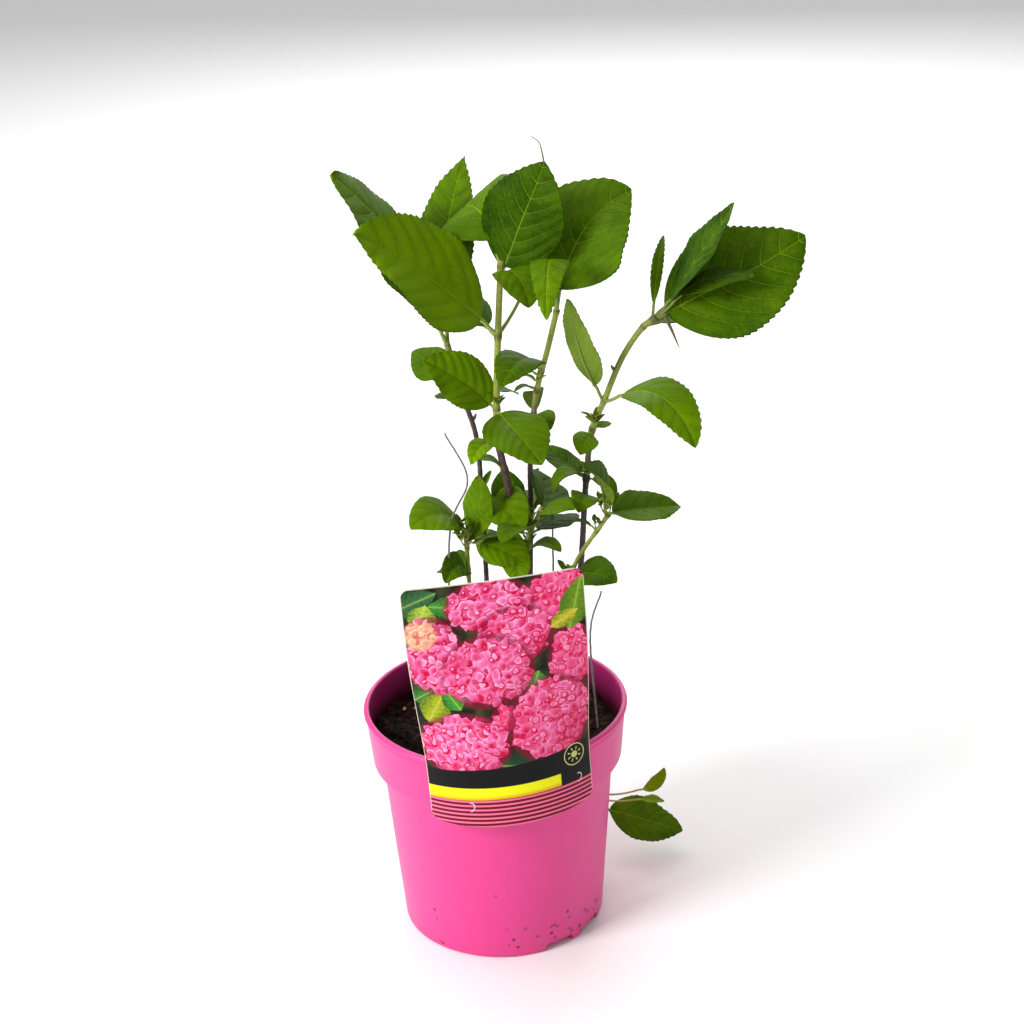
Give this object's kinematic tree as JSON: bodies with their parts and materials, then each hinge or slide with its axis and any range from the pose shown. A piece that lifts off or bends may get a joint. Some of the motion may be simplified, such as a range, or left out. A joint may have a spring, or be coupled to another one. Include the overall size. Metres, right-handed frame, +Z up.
{
  "type": "potted hydrangea shrub",
  "caption": "Young hydrangea shrub with broad toothed leaves on slender stems, in a round nursery pot with an upright picture label card on its front.",
  "frame": {"origin": "centre of the pot's flat foot, on the ground", "axes": "+Z up along the stems, -Y towards the front of the pot where the label card stands, +X to the right seen from the front"},
  "size_m": [0.3147, 0.2366, 0.568],
  "materials": {
    "pot_plastic": "satin moulded plastic, light dust on the foot",
    "compost": "moist compost with bark chips",
    "label_card": "printed card, matt",
    "dry_stalk": "thin, dry and grey",
    "woody_stem": "dark brown young bark",
    "green_stem": "soft green shoot",
    "leaf": "soft, slightly waxy leaves"
  },
  "bodies": {
    "root": {"compost": "compost", "dry_stalk_left": "dry_stalk", "dry_stalk_middle": "dry_stalk", "dry_stalk_right": "dry_stalk", "label_card": "label_card", "leaves_centre_head": "leaf", "leaves_centre_low": "leaf", "leaves_centre_tier": "leaf", "leaves_left_head": "leaf", "leaves_left_low": "leaf", "leaves_left_tier": "leaf", "leaves_low_left": "leaf", "leaves_low_middle": "leaf", "leaves_low_right": "leaf", "leaves_middle_head": "leaf", "leaves_middle_low": "leaf", "leaves_middle_tier": "leaf", "leaves_right_head": "leaf", "leaves_right_low": "leaf", "leaves_right_tier": "leaf", "leaves_trailing": "leaf", "pot": "pot_plastic", "stem_centre_1": "woody_stem", "stem_centre_2": "green_stem", "stem_centre_3": "green_stem", "stem_left_1": "woody_stem", "stem_left_2": "green_stem", "stem_left_3": "green_stem", "stem_lowLeft_1": "green_stem", "stem_lowMiddle_1": "green_stem", "stem_lowRight_1": "green_stem", "stem_middle_1": "woody_stem", "stem_middle_2": "green_stem", "stem_middle_3": "green_stem", "stem_right_1": "woody_stem", "stem_right_2": "green_stem", "stem_right_3": "green_stem", "stem_trailing_1": "green_stem"}
  },
  "joints": []
}
